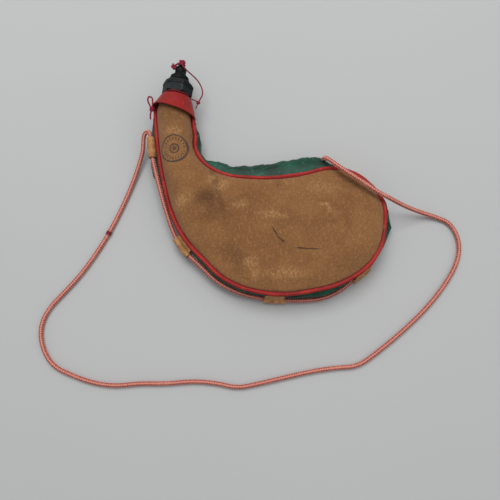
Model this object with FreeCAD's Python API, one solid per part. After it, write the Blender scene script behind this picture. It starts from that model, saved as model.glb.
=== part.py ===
import FreeCAD, Part
import math
import os
from FreeCAD import Vector

# Bota bag lying on its back: suede front panel up, nozzle along +Y, floor at z = 0.
# Millimetres. The origin is on the floor under the middle of the belly.

# Seam between the front panel and the back shell, seen from above, from the left of
# the neck round the belly to the right of the neck.
SEAM_Z = 29.0
SEAM = [(-175.4, 151.5), (-180.2, 139.0), (-177.3, 117.5), (-168.6, 82.5), (-155.2, 42.0),
        (-138.2, 3.4), (-121.0, -21.5), (-92.0, -47.0), (-64.6, -66.0), (-14.5, -76.2),
        (36.2, -67.9), (90.0, -41.4), (114.6, -8.6), (119.4, 21.0), (113.4, 55.2),
        (95.0, 74.2), (76.8, 84.6), (49.8, 88.2), (12.2, 75.6), (-46.3, 63.4),
        (-97.2, 67.4), (-121.6, 88.8), (-125.6, 107.6), (-130.8, 125.0), (-134.0, 139.0),
        (-138.8, 151.5)]
TIP = 13                    # the seam point at the far end of the belly

# Bag
BELLY_RISE = 9.0            # front panel's crown above the seam
BACK_SINK = 3.0             # how far the back is pressed flat by the floor
SUEDE = 1.8                 # front panel's thickness
VINYL = 1.5                 # back shell's thickness
LINER = 0.9                 # inner bladder's wall
LINER_GAP = 0.3             # bladder inside the panel's edge
LINER_SLACK = 1.2           # and inside the panel and the shell
NECK_BULGE = 14.0           # back shell's puff below the neck, on the outer curve
BELLY_BULGE = 8.0           # along the rest of the outer curve
TOP_BULGE = 20.0            # at the fullest place of the inner curve
TIP_BULGE = 9.0             # at the far end
TIP_ROUND = 45.0            # length over which the far end rounds off
PIPING_D = 4.6
PIPING_END_Y = 139.8        # the piping stops here, under the collar
FLANGE = 1.0                # the piping's sewn edge between panel and shell
SEAM_GAP = 0.1
BEAD_GAP = 0.4              # between the bead and the edges of panel and shell

# Neck, on an axis along +Y
NECK_X = -157.1
COLLAR_LOW_Y = 139.0
COLLAR_TOP_Y = 156.8
COLLAR_LOW_R = 27.2
COLLAR_TOP_R = 19.2
COLLAR_T = 1.2
STEM_R = 15.0
STEM_BORE_R = 12.5
STEM_LENGTH = 26.5
HEX_Y = 158.6               # lower face of the socket's hexagon
HEX_H = 9.2
HEX_R = 19.3                # to the corners
SPIGOT_R = 9.5
SPIGOT_H = 6.5
MOUTH_R = 7.3
NOZZLE_GAP = 0.3
NOZZLE_HEX_R = 19.7
THREAD_CLEAR = 0.06
GASKET_T = 1.5
SPOUT_R = 1.6
NIPPLE_R = 4.4
NIPPLE_H = 3.2
STOPPER_R = 7.1
STOPPER_H = 13.8
STOPPER_CLEAR = 0.05
STRING_D = 1.9
TIE_Y = 146.0               # the string that ties the neck onto the stem

NOZZLE_H = 20.9             # to the shoulder under the nipple
NOZZLE_Y = HEX_Y + HEX_H + NOZZLE_GAP
GASKET_Y = HEX_Y + HEX_H + SPIGOT_H + 0.05
STOPPER_Y = NOZZLE_Y + NOZZLE_H + 0.3
GROOVE_R = 2.9
GROOVE_Y = STOPPER_Y + 11.6

# Cord, its sewn loops and the free strap
CORD_D = 5.8
LOOP_BORE = 6.6
LOOP_T = 1.7
LOOP_LENGTH = 26.0
# middle of each loop: distance along the seam, distance out from it, height
LOOPS = [(66.0, 8.3, 28.0), (193.0, 8.5, 15.0), (322.0, 5.3, 6.3), (433.0, 3.0, 5.3),
         (586.0, 1.8, 5.3)]
# the cord between the loops, in the same way
RIM = [(92, 7.7, 26.4), (112, 6.8, 25.0), (132, 6.3, 23.3), (151, 6.5, 20.2), (167, 7.6, 16.6),
       (226, 7.2, 15.4), (252, 7.6, 14.5), (282, 6.6, 11.5),
       (354, 8.0, 6.5), (380, 10.5, 4.5), (402, 7.5, 4.6),
       (458, 2.7, 5.0), (474, -0.4, 4.0), (498, -4.2, 3.2), (524, -4.2, 3.1), (546, -0.6, 4.4),
       (560, 1.2, 5.1)]
LOOP_END = 2.0              # the rim cord's ends stand out of the first and last loop
# the free strap, from the first loop's upper end over the floor to the last loop's end
STRAP = [(-182.3, 104.5, 28.2), (-187.7, 107.9, 24.7), (-192.0, 104.5, 20.8), (-192.3, 95.5, 16.5),
         (-191.8, 84.5, 12.0), (-195.2, 67, 7.8), (-199.5, 45, 4.3), (-207.5, 12, 3.0),
         (-219, -25, 3.0), (-231, -54, 3.0), (-244.5, -81, 3.0), (-259, -103, 3.0),
         (-276, -127.5, 3.0), (-281.5, -150, 3.0), (-275, -173, 3.0), (-258, -194, 3.0),
         (-232, -202, 3.0), (-205, -207.5, 3.0), (-178, -207.5, 3.0), (-150, -200.5, 3.0),
         (-118, -197, 3.0), (-86, -189.5, 3.0), (-57, -188.5, 3.0), (-33, -191, 3.0),
         (-8, -182.5, 3.0), (24, -170.5, 3.0), (56, -159, 3.0), (84, -151.5, 3.0),
         (108, -147, 3.0), (130, -127, 3.0), (158, -98.5, 3.0), (186, -65.5, 3.0),
         (208, -31, 3.0), (220.5, -1, 3.0), (220, 24, 3.0), (207, 45, 3.0), (186, 50, 4.0),
         (164, 51.5, 11.5), (142, 53, 23.5), (121, 56, 37.0), (104.5, 63, 43.0), (88, 72, 43.5),
         (71, 80.5, 43.5), (55, 88, 42.5), (44.5, 94.5, 38.5), (38.5, 99.5, 31.5),
         (36.5, 101.5, 20.5), (39, 98, 11.0), (45, 92.5, 6.0)]
SPLICE = 8                  # the strap point with the whipped splice
SPLICE_R = 3.6
SPLICE_LENGTH = 4.0

# Strings
KNOT_SHARE = 0.9            # a knot's radius, in string diameters
TIE_RING_R = 21.1           # round the neck, to the string's middle
TIE_KNOT = (-184.9, 134.6, 33.4)
TIE_LEAD = [(-180.6, 139.8, 33.2), (-184.3, 134.9, 33.2)]
TIE_BOW = [(-186.0, 134.9, 33.9), (-188.6, 139.0, 35.2), (-191.8, 143.6, 36.6), (-191.2, 147.8, 37.4),
           (-187.6, 147.4, 37.2), (-186.3, 141.4, 35.8), (-184.1, 135.4, 33.6)]
TIE_TAIL = [(-185.2, 134.3, 33.3), (-185.4, 129.0, 33.6), (-184.4, 121.0, 32.6)]
ANCHOR_D = 1.6              # thinner where it lies in the gap above the collar
ANCHOR_KNOT = (-129.6, 155.0, 24.0)
ANCHOR_TAIL = [(-129.8, 155.0, 24.0), (-130.6, 151.5, 23.0), (-131.8, 147.6, 21.6)]
TETHER = [(-129.2, 156.6, 23.2), (-127.6, 164.0, 19.4), (-126.6, 172.0, 15.8), (-129.6, 181.0, 14.8),
          (-135.4, 187.4, 20.0), (-142.0, 189.4, 28.0), (-148.0, 190.6, 35.4), (-152.8, 193.8, 39.0),
          (-155.2, 197.6, 38.4), (-156.0, 199.6, 36.2)]
TIP_KNOT = (-156.4, 200.7, 34.7)
TIP_END = [(-157.4, 200.4, 35.2), (-162.2, 198.4, 36.4), (-165.6, 193.6, 34.2)]


def seam_curve():
    curve = Part.BSplineCurve()
    curve.interpolate(Points=[Vector(x, y, SEAM_Z) for x, y in SEAM])
    return curve


CURVE = seam_curve()
LENGTH = CURVE.length()
TIP_AT = CURVE.length(CURVE.FirstParameter, CURVE.parameter(Vector(*SEAM[TIP], SEAM_Z)))


def seam_at(distance):
    """Point on the seam, and the level direction out of the bag there."""
    u = CURVE.parameterAtDistance(distance, CURVE.FirstParameter)
    along = CURVE.tangent(u)[0]
    return CURVE.value(u), Vector(along.y, -along.x, 0)


def blend(table, t):
    """Value at t from a short table of (t, value), eased from one to the next."""
    for (a, va), (b, vb) in zip(table, table[1:]):
        if t <= b:
            s = max(0.0, (t - a) / (b - a))
            return va + (vb - va) * s * s * (3 - 2 * s)
    return table[-1][1]


STATIONS = [0.0, 0.013, 0.027] + [0.05 + 0.89 * i / 24 for i in range(25)]
ROUND_NECK = [(0.0, 1.0), (0.06, 0.97), (0.5, 0.0)]
BARE_EDGE = [(0.0, 0.0), (0.017, 1.0)]
INNER_BULGE = [(0.05, 0.0), (0.17, 2.0), (0.27, 0.5 * TOP_BULGE), (0.44, 0.86 * TOP_BULGE),
               (0.58, TOP_BULGE), (0.635, 0.9 * TOP_BULGE), (0.70, 0.2 * TOP_BULGE),
               (0.85, 0.25 * TOP_BULGE), (1.0, TIP_BULGE)]
OUTSIDE_BULGE = [(0.03, 0.0), (0.06, 0.4 * NECK_BULGE), (0.16, NECK_BULGE), (0.24, 0.9 * NECK_BULGE),
                 (0.35, BELLY_BULGE), (0.8, BELLY_BULGE), (1.0, TIP_BULGE)]


class Section:
    """One upright cross-section of the bag, from its outer to its inner curve, at the share t of
    the way from the neck to the tip, its ends a little inside the seam."""

    def __init__(self, t, inset=0.0):
        ends = [seam_at(TIP_AT * t), seam_at(LENGTH - (LENGTH - TIP_AT) * t)]
        seam_half = ends[0][0].distanceToPoint(ends[1][0]) / 2
        seam_mid = (ends[0][0] + ends[1][0]) * 0.5
        a, b = [at - out * inset for at, out in ends]
        self.mid = (a + b) * 0.5
        self.across = (b - a).normalize()
        self.half = a.distanceToPoint(b) / 2
        self.round = blend(ROUND_NECK, t)
        self.outer = blend(OUTSIDE_BULGE, t)
        self.inner = blend(INNER_BULGE, t)
        left = min(1.0, Vector(*SEAM[TIP], SEAM_Z).distanceToPoint(seam_mid) / TIP_ROUND)
        taper = math.sqrt(1 - (1 - left) ** 2)
        neck = seam_half - edge_inset(t)
        sunk = SEAM_Z + BACK_SINK
        self.rise = (BELLY_RISE + (neck - BELLY_RISE) * self.round) * taper
        self.depth = (sunk + (neck - sunk) * self.round) * taper

    def point(self, x, z):
        return self.mid + self.across * x + Vector(0, 0, z)

    def crown(self, drop, start):
        """Points of the front, from side to side, over a level chord at height start."""
        power = 2 / (2.6 - 0.6 * self.round)
        rise = max(0.5, self.rise - drop) - start
        arc = [math.pi * i / 12 for i in range(13)]
        return [self.point(-self.half * math.cos(a), start + rise * math.sin(a) ** power)
                for a in arc]

    def bowl(self, lift, start, puff=1.0):
        """Points of the back, from side to side, under a level chord at height start."""
        power = 2 / (3.0 - self.round)
        depth = max(0.8, self.depth - lift) + start
        points = []
        for angle in (0, 5, 13, 24, 38, 56, 74, 90, 106, 124, 142, 156, 167, 175, 180):
            a = math.radians(angle)
            near = min(angle, 180 - angle) / 90
            side = -self.outer if angle < 90 else self.inner
            x = -math.copysign(abs(math.cos(a)) ** power, math.cos(a)) * self.half
            x += puff * side * math.sin(math.pi * near ** 0.62)
            points.append(self.point(x, start - depth * math.sin(a) ** power))
        return points


def edge_inset(t):
    """How far the panel's and the shell's edges lie inside the seam, to clear the bead."""
    return (PIPING_D / 2 + BEAD_GAP) * blend(BARE_EDGE, t)


def spline(points):
    """Curve through the points, with the same parameters in every section of a loft."""
    curve = Part.BSplineCurve()
    curve.interpolate(Points=points, Parameters=[float(i) for i in range(len(points))])
    return curve.toShape()


def line(a, b):
    return Part.LineSegment(a, b).toShape()


def lipped(points, lip):
    """Closed wire: the curve through the points, an upright lip at each end, and a chord."""
    up = Vector(0, 0, lip)
    left, right = points[0], points[-1]
    return Part.Wire([line(left + up, left), spline(points), line(right, right + up),
                      line(right + up, left + up)])


def pouch(t, inset, drop, lift):
    """Closed wire all round a cross-section, with no bulge."""
    section = Section(t, inset)
    front, back = section.crown(drop, 0.0), section.bowl(lift, 0.0, 0.0)
    return Part.Wire([spline(front), spline(back[::-1])])


def loft(wires):
    return Part.makeLoft(wires, True, False)


def past_neck(wires, length=5.0):
    """The neck section once more, further out, so that an inner cut runs past the end."""
    first = wires[0].copy()
    first.translate(Vector(0, length, 0))
    return [first] + wires


def below(z):
    return Part.makeBox(800, 800, 100, Vector(-400, -400, z - 100))


def front_panel():
    start = FLANGE / 2 + SEAM_GAP
    outside = [lipped(Section(t, edge_inset(t)).crown(0, start), -0.01) for t in STATIONS + [0.982]]
    inside = [lipped(Section(t, edge_inset(t) + SUEDE).crown(SUEDE, start), -3.0)
              for t in STATIONS + [0.966]]
    return loft(outside).cut(loft(past_neck(inside)))


def shell_outline():
    """The back shell's outer form, solid."""
    wires = []
    for t in STATIONS + [0.982]:
        top = -FLANGE / 2 - SEAM_GAP
        low = top - 0.3 - edge_inset(t)
        wires.append(lipped(Section(t, edge_inset(t)).bowl(0, low), top - low))
    return loft(wires).cut(below(0))


def back_shell():
    wires = []
    for t in STATIONS + [0.966]:
        low = -FLANGE / 2 - SEAM_GAP - 0.3 - edge_inset(t)
        section = Section(t, edge_inset(t) + VINYL)
        wires.append(lipped(section.bowl(VINYL, low - VINYL), 5.0 - low + VINYL))
    return shell_outline().cut(loft(past_neck(wires)).cut(below(VINYL)))


def liner():
    """Bladder that holds the wine, open at the neck, where it is tied on the stem."""
    outside, inside = [], []
    for t in STATIONS + [0.952]:
        outside.append(liner_section(t, 0.0))
    for t in STATIONS[:-1] + [0.925]:
        inside.append(liner_section(t, LINER))
    floor = SUEDE + LINER_SLACK
    cavity = loft(past_neck(inside)).cut(below(floor + LINER))
    return loft(outside).cut(below(floor)).cut(cavity)


def liner_section(t, wall):
    slack = blend([(0.05, LINER_GAP), (0.12, LINER_SLACK)], t)
    return pouch(t, edge_inset(t) + SUEDE + LINER_GAP + wall, SUEDE + slack + wall,
                 SUEDE + slack + wall)


def front_piping():
    """Round bead along the seam, with the edge by which it is sewn between panel and shell."""
    ends = []
    for y_side in (SEAM[1], SEAM[-2]):
        near = Vector(*y_side, SEAM_Z)
        ends.append(piping_end(CURVE.parameter(near), y_side[1]))
    curve = CURVE.copy()
    curve.segment(*ends)
    path = Part.Wire([arc.toShape() for arc in curve.toBiArcs(0.02)])
    start = CURVE.value(ends[0])
    along = CURVE.tangent(ends[0])[0]
    out = Vector(along.y, -along.x, 0)
    r, f = PIPING_D / 2, FLANGE / 2
    neck = math.sqrt(r * r - f * f)
    inner = PIPING_D / 2 + BEAD_GAP + SUEDE

    def at(x, z):
        return start + out * x + Vector(0, 0, z)

    bead = Part.Arc(at(-neck, f), at(r, 0), at(-neck, -f)).toShape()
    profile = Part.Wire([bead, line(at(-neck, -f), at(-inner, -f)), line(at(-inner, -f), at(-inner, f)),
                         line(at(-inner, f), at(-neck, f))])
    sweep = Part.BRepOffsetAPI.MakePipeShell(path)
    sweep.setBiNormalMode(Vector(0, 0, 1))
    sweep.add(profile)
    sweep.build()
    sweep.makeSolid()
    return sweep.shape()


def piping_end(u, y):
    """Parameter of the seam near u where it reaches PIPING_END_Y."""
    for _ in range(20):
        along = CURVE.getD1(u)[1]
        u += (PIPING_END_Y - CURVE.value(u).y) / along.y
    return u


# Neck pieces, turned about the neck's axis

AXIS = Vector(NECK_X, 0, SEAM_Z)


def turned(profile):
    """Solid turned about the neck's axis from its (radius, y) corners."""
    points = [AXIS + Vector(r, y, 0) for r, y in profile]
    face = Part.Face(Part.makePolygon(points + points[:1]))
    return face.revolve(AXIS, Vector(0, 1, 0), 360)


def hexagon(corner, y, height):
    points = [AXIS + Vector(corner * math.cos(math.pi * i / 3), y, corner * math.sin(math.pi * i / 3))
              for i in range(7)]
    return Part.Face(Part.makePolygon(points)).extrude(Vector(0, height, 0))


def neck_collar():
    t = COLLAR_T
    grip = STEM_R + 0.2
    return turned([(COLLAR_LOW_R - t, COLLAR_LOW_Y), (COLLAR_LOW_R, COLLAR_LOW_Y),
                   (COLLAR_TOP_R, COLLAR_TOP_Y - t / 2), (COLLAR_TOP_R - t / 2, COLLAR_TOP_Y),
                   (grip, COLLAR_TOP_Y), (grip, COLLAR_TOP_Y - t), (COLLAR_TOP_R - t, COLLAR_TOP_Y - t)])


def neck_socket():
    low, top = HEX_Y - STEM_LENGTH, HEX_Y + HEX_H
    groove = STEM_R - 1.0
    stem = turned([(0, low), (STEM_R - 0.6, low), (STEM_R, low + 0.6), (STEM_R, TIE_Y - 2.2),
                   (groove, TIE_Y - 1.2), (groove, TIE_Y + 1.2), (STEM_R, TIE_Y + 2.2),
                   (STEM_R, HEX_Y + 1), (0, HEX_Y + 1)])
    bevel = 0.9
    band = hexagon(HEX_R, HEX_Y, HEX_H).common(
        turned([(0, HEX_Y), (HEX_R - bevel, HEX_Y), (HEX_R, HEX_Y + bevel), (HEX_R, top - bevel),
                (HEX_R - bevel, top), (0, top)]))
    spigot = turned([(0, top - 1), (SPIGOT_R, top - 1), (SPIGOT_R, top + SPIGOT_H - 0.6),
                     (SPIGOT_R - 0.6, top + SPIGOT_H), (0, top + SPIGOT_H)])
    bore = turned([(0, low - 1), (STEM_BORE_R, low - 1), (STEM_BORE_R, HEX_Y), (MOUTH_R, HEX_Y + 6),
                   (MOUTH_R, top + SPIGOT_H + 1), (0, top + SPIGOT_H + 1)])
    return stem.fuse([band, spigot]).cut(bore).removeSplitter()


def nozzle():
    """Screw-on pouring cone: a hexagonal foot, two rings and the nipple that the stopper closes."""
    y = NOZZLE_Y
    foot = hexagon(NOZZLE_HEX_R, y, 12).common(
        turned([(0, y), (NOZZLE_HEX_R - 0.5, y), (NOZZLE_HEX_R, y + 0.5), (NOZZLE_HEX_R, y + 3.4),
                (16.2, y + 6.6), (12.4, y + 9.9), (0, y + 9.9)]))
    top = y + NOZZLE_H
    cone = turned([(0, y + 8), (13.0, y + 8), (12.4, y + 9.9), (12.9, y + 10.3), (12.9, y + 11.3),
                   (11.8, y + 11.7), (11.2, y + 13.9), (11.6, y + 14.2), (11.6, y + 15.0),
                   (10.4, y + 15.4), (8.6, y + 17.6), (7.5, top - 1.4), (7.1, top), (NIPPLE_R, top),
                   (NIPPLE_R, top + NIPPLE_H - 0.4), (NIPPLE_R - 0.4, top + NIPPLE_H),
                   (0, top + NIPPLE_H)])
    roof = GASKET_Y + GASKET_T + 0.1
    wide = SPIGOT_R + THREAD_CLEAR
    hollow = turned([(0, y - 1), (wide, y - 1), (wide, roof), (6.0, roof), (SPOUT_R, roof + 8),
                     (SPOUT_R, top + NIPPLE_H + 1), (0, top + NIPPLE_H + 1)])
    return foot.fuse(cone).cut(hollow).removeSplitter()


def nozzle_gasket():
    return turned([(MOUTH_R, GASKET_Y), (SPIGOT_R - 0.1, GASKET_Y), (SPIGOT_R - 0.1, GASKET_Y + GASKET_T),
                   (MOUTH_R, GASKET_Y + GASKET_T)])


def tip_stopper():
    """Cap over the nipple, with a pin in the spout and a groove for its string."""
    y, r = STOPPER_Y, STOPPER_R
    cup = NIPPLE_R + STOPPER_CLEAR
    pin = SPOUT_R - STOPPER_CLEAR
    roof = NOZZLE_Y + NOZZLE_H + NIPPLE_H + 0.3
    return turned([(0, roof - 5.2), (pin - 0.4, roof - 5.2), (pin, roof - 4.6), (pin, roof), (cup, roof),
                   (cup, y), (r, y), (r, y + 4.6), (r - 0.9, y + 7.0), (3.9, GROOVE_Y - 1.2),
                   (GROOVE_R, GROOVE_Y - STRING_D / 2 - 0.1), (GROOVE_R, GROOVE_Y + STRING_D / 2 + 0.1),
                   (3.9, GROOVE_Y + 1.3), (3.9, y + STOPPER_H - 0.9), (2.8, y + STOPPER_H),
                   (0, y + STOPPER_H)])


# Cord loops and cords


def tube(points, diameter, name):
    """Round cord along the points: straight runs joined by arcs as large as the runs allow."""
    points = [Vector(*p) for p in points]
    edges, radii, at = [], [], points[0]
    for before, corner, after in zip(points, points[1:], points[2:]):
        back, ahead = before - corner, after - corner
        reach = 0.45 * min(back.Length, ahead.Length)
        turn = math.pi - back.getAngle(ahead)
        radius = reach / math.tan(turn / 2)
        a, b = corner + back.normalize() * reach, corner + ahead.normalize() * reach
        inward = (back + ahead).normalize()
        middle = corner + inward * (radius / math.cos(turn / 2) - radius)
        edges += [line(at, a), Part.Arc(a, middle, b).toShape()]
        radii.append(radius)
        at = b
    edges.append(line(at, points[-1]))
    path = Part.Wire(edges)
    ring = Part.Wire(Part.Circle(points[0], points[1] - points[0], diameter / 2).toShape())
    solid = path.makePipeShell([ring], True, False)
    share = solid.Volume / (math.pi * diameter ** 2 / 4 * path.Length)
    print(name, "length %.0f" % path.Length, "volume share %.4f" % share,
          "radii", " ".join("%.1f" % r for r in radii))
    return solid


def rim_point(distance, out, height):
    at, away = seam_at(distance)
    return Vector(at.x, at.y, height) + away * out


def rim_route():
    """Points of the cord round the bag, with three in each loop."""
    rows = list(RIM)
    half = LOOP_LENGTH / 2
    for distance, out, height in LOOPS:
        rows += [(distance - half, out, height), (distance, out, height), (distance + half, out, height)]
    first, last = LOOPS[0], LOOPS[-1]
    ends = half + LOOP_END
    rows.append((first[0] - ends, first[1], first[2]))
    rows.append((last[0] + ends, last[1], last[2]))
    return [rim_point(*row) for row in sorted(rows)]


def cord_loop(number):
    """Leather sleeve round the cord, on a strip that is sewn in under the piping."""
    distance, out, height = LOOPS[number]
    half = LOOP_LENGTH / 2
    route = [rim_point(distance + step, out, height) for step in (-half, 0, half)]
    sleeve = tube(route, LOOP_BORE + 2 * LOOP_T, "loop")
    far = [route[1] + (p - route[1]) * 1.2 for p in route]
    bore = tube(far, LOOP_BORE, "bore")
    at, away = seam_at(distance)
    along = Vector(-away.y, away.x, 0)
    root = Vector(at.x, at.y, SEAM_Z - PIPING_D / 2 - LOOP_T / 2) + away * (PIPING_D / 2 + 0.3)
    seat = route[1]
    bow = (root + seat) * 0.5 + away * 0.6
    path = Part.Wire(Part.Arc(root, bow, seat).toShape())
    down = (seat - root).normalize()
    thick = down.cross(along).normalize() * (LOOP_T / 2)
    wide = along * (half - 1.0)
    corners = [root + thick + wide, root + thick - wide, root - thick - wide, root - thick + wide]
    strip = path.makePipeShell([Part.makePolygon(corners + corners[:1])], True, False)
    return sleeve.fuse(strip).cut(bore)


def rim_cord():
    return tube(rim_route(), CORD_D, "rim cord")


def shoulder_cord():
    rim = rim_route()
    return tube([rim[0]] + STRAP + [rim[-1]], CORD_D, "shoulder cord")


def cord_splice():
    """Whipping over the joined ends of the cord."""
    before, at, after = [Vector(*STRAP[SPLICE + i]) for i in (-1, 0, 1)]
    middle = (before + at * 6 + after) * 0.125
    along = (after - before).normalize()
    ring = Part.makeCylinder(SPLICE_R, SPLICE_LENGTH, middle - along * (SPLICE_LENGTH / 2), along)
    return ring.cut(shoulder_cord())


# Strings


def knot(at, diameter):
    """Small overhand knot, plain."""
    return Part.makeSphere(KNOT_SHARE * diameter, Vector(*at))


def joined(shapes):
    solid = shapes[0]
    for shape in shapes[1:]:
        solid = solid.fuse(shape)
    return solid


def neck_tie():
    """String that binds the bag's neck on the stem, ended in a bow beside the collar."""
    at = AXIS + Vector(0, TIE_Y, 0)
    ring = Part.makeTorus(TIE_RING_R, STRING_D / 2, at, Vector(0, 1, 0))
    side = Vector(at.x - TIE_RING_R * math.cos(0.15), TIE_Y, at.z + TIE_RING_R * math.sin(0.15))
    lead = tube([side] + TIE_LEAD, STRING_D, "tie lead")
    bow = tube(TIE_BOW, STRING_D, "tie bow")
    tail = tube(TIE_TAIL, STRING_D, "tie tail")
    return joined([ring, lead, knot(TIE_KNOT, STRING_D), tail, bow])


def tether_anchor():
    """String round the stem above the collar, with the knot that the tether starts from."""
    y = (COLLAR_TOP_Y + HEX_Y) / 2
    at = AXIS + Vector(0, y, 0)
    major = STEM_R + ANCHOR_D / 2 + 0.1
    ring = Part.makeTorus(major, ANCHOR_D / 2, at, Vector(0, 1, 0))
    side = Vector(at.x + major * math.cos(0.2), y, at.z - major * math.sin(0.2))
    lead = tube([side, (-135.4, y - 0.1, 25.0), (-132.0, 156.4, 24.4), ANCHOR_KNOT], ANCHOR_D, "lead")
    tail = tube(ANCHOR_TAIL, STRING_D, "anchor tail")
    return joined([ring, lead, knot(ANCHOR_KNOT, STRING_D), tail])


def tether_string():
    return tube(TETHER, STRING_D, "tether")


def stopper_knot():
    """The tether's end: a turn in the stopper's groove, its knot and a thick short end."""
    ring = Part.makeTorus(GROOVE_R + STRING_D / 2 + 0.05, STRING_D / 2, AXIS + Vector(0, GROOVE_Y, 0),
                          Vector(0, 1, 0))
    end = tube(TIP_END, STRING_D, "tip end")
    return joined([ring, knot(TIP_KNOT, STRING_D), end, knot(TIP_END[-1], STRING_D)])


def main():
    os.makedirs("parts", exist_ok=True)
    nodes = {"front_panel": front_panel(), "back_shell": back_shell(), "liner": liner(),
             "front_piping": front_piping(), "neck_collar": neck_collar(),
             "neck_socket": neck_socket(), "nozzle": nozzle(), "nozzle_gasket": nozzle_gasket(),
             "tip_stopper": tip_stopper(), "rim_cord": rim_cord(), "shoulder_cord": shoulder_cord(),
             "cord_splice": cord_splice(), "neck_tie": neck_tie(), "tether_anchor": tether_anchor(),
             "tether_string": tether_string(), "stopper_knot": stopper_knot()}
    for number in range(len(LOOPS)):
        nodes["cord_loop_%d" % (number + 1)] = cord_loop(number)
    for name, shape in nodes.items():
        solids = shape.Solids
        assert shape.isValid() and len(solids) == 1, name
        solids[0].exportStep("parts/%s.step" % name)
        print(name, "%.0f mm3" % shape.Volume)


main()
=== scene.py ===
import bpy
import math
from mathutils import Matrix, Vector, noise
from mathutils.bvhtree import BVHTree
from mathutils.kdtree import KDTree


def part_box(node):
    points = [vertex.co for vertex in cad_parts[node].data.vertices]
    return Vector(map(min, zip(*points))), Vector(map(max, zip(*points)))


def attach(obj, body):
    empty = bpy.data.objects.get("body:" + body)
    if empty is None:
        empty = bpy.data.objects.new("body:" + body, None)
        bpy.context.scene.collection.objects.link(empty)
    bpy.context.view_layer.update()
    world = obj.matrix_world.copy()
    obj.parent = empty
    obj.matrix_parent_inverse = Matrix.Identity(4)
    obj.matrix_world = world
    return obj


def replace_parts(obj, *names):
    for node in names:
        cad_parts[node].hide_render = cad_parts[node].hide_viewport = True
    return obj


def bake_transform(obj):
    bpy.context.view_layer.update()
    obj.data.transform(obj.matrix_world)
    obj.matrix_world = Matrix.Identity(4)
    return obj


# Bota bag on its back: suede front, green vinyl back, red piping and collar, screw nozzle, cord.
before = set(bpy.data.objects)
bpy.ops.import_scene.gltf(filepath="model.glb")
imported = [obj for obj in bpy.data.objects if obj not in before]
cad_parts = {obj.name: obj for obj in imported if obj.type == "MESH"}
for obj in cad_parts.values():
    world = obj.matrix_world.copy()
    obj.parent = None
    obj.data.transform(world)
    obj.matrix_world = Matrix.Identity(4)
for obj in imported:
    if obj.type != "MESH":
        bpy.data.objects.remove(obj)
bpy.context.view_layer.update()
bpy.ops.object.select_all(action="DESELECT")

# The seam between front and back, from the left of the neck round the belly to its right.
SEAM_Z = 0.029
SEAM = [(-0.1754, 0.1515), (-0.1802, 0.139), (-0.1773, 0.1175), (-0.1686, 0.0825), (-0.1552, 0.042),
        (-0.1382, 0.0034), (-0.121, -0.0215), (-0.092, -0.047), (-0.0646, -0.066), (-0.0145, -0.0762),
        (0.0362, -0.0679), (0.09, -0.0414), (0.1146, -0.0086), (0.1194, 0.021), (0.1134, 0.0552),
        (0.095, 0.0742), (0.0768, 0.0846), (0.0498, 0.0882), (0.0122, 0.0756), (-0.0463, 0.0634),
        (-0.0972, 0.0674), (-0.1216, 0.0888), (-0.1256, 0.1076), (-0.1308, 0.125), (-0.134, 0.139),
        (-0.1388, 0.1515)]
TIP = 13
BEAD_R = 0.0023
SUEDE_WALL, SUEDE_INSET = 0.0016, 0.0030
VINYL_WALL, VINYL_INSET = 0.0014, 0.0024
VINYL_TOP = SEAM_Z - 0.0008
NECK = Vector((-0.1571, 0, 0.029))

CORD_D = 0.0058
BRAID_STEP = 0.00056
TWIST_STEP = 0.0005
STRAP = [(-0.1818, 0.1003, 0.028), (-0.1823, 0.1045, 0.0282), (-0.1877, 0.1079, 0.0247),
         (-0.192, 0.1045, 0.0208), (-0.1923, 0.0955, 0.0165), (-0.1918, 0.0845, 0.012),
         (-0.1952, 0.067, 0.0078), (-0.1995, 0.045, 0.0043), (-0.2075, 0.012, 0.003),
         (-0.219, -0.025, 0.003), (-0.231, -0.054, 0.003), (-0.2445, -0.081, 0.003),
         (-0.259, -0.103, 0.003), (-0.276, -0.1275, 0.003), (-0.2815, -0.15, 0.003),
         (-0.275, -0.173, 0.003), (-0.258, -0.194, 0.003), (-0.232, -0.202, 0.003),
         (-0.205, -0.2075, 0.003), (-0.178, -0.2075, 0.003), (-0.15, -0.2005, 0.003),
         (-0.118, -0.197, 0.003), (-0.086, -0.1895, 0.003), (-0.057, -0.1885, 0.003),
         (-0.033, -0.191, 0.003), (-0.008, -0.1825, 0.003), (0.024, -0.1705, 0.003),
         (0.056, -0.159, 0.003), (0.084, -0.1515, 0.003), (0.108, -0.147, 0.003),
         (0.13, -0.127, 0.003), (0.158, -0.0985, 0.003), (0.186, -0.0655, 0.003),
         (0.208, -0.031, 0.003), (0.2205, -0.001, 0.003), (0.22, 0.024, 0.003), (0.207, 0.045, 0.003),
         (0.186, 0.05, 0.004), (0.164, 0.0515, 0.0115), (0.142, 0.053, 0.0235), (0.121, 0.056, 0.037),
         (0.1036, 0.0604, 0.0432), (0.0868, 0.0692, 0.0437), (0.0698, 0.0778, 0.0437),
         (0.0543, 0.0862, 0.0427), (0.0445, 0.0940, 0.0385), (0.0385, 0.0995, 0.0315),
         (0.0365, 0.1015, 0.0205), (0.039, 0.098, 0.011), (0.045, 0.0925, 0.006),
         (0.0529, 0.0902, 0.0053)]
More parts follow.
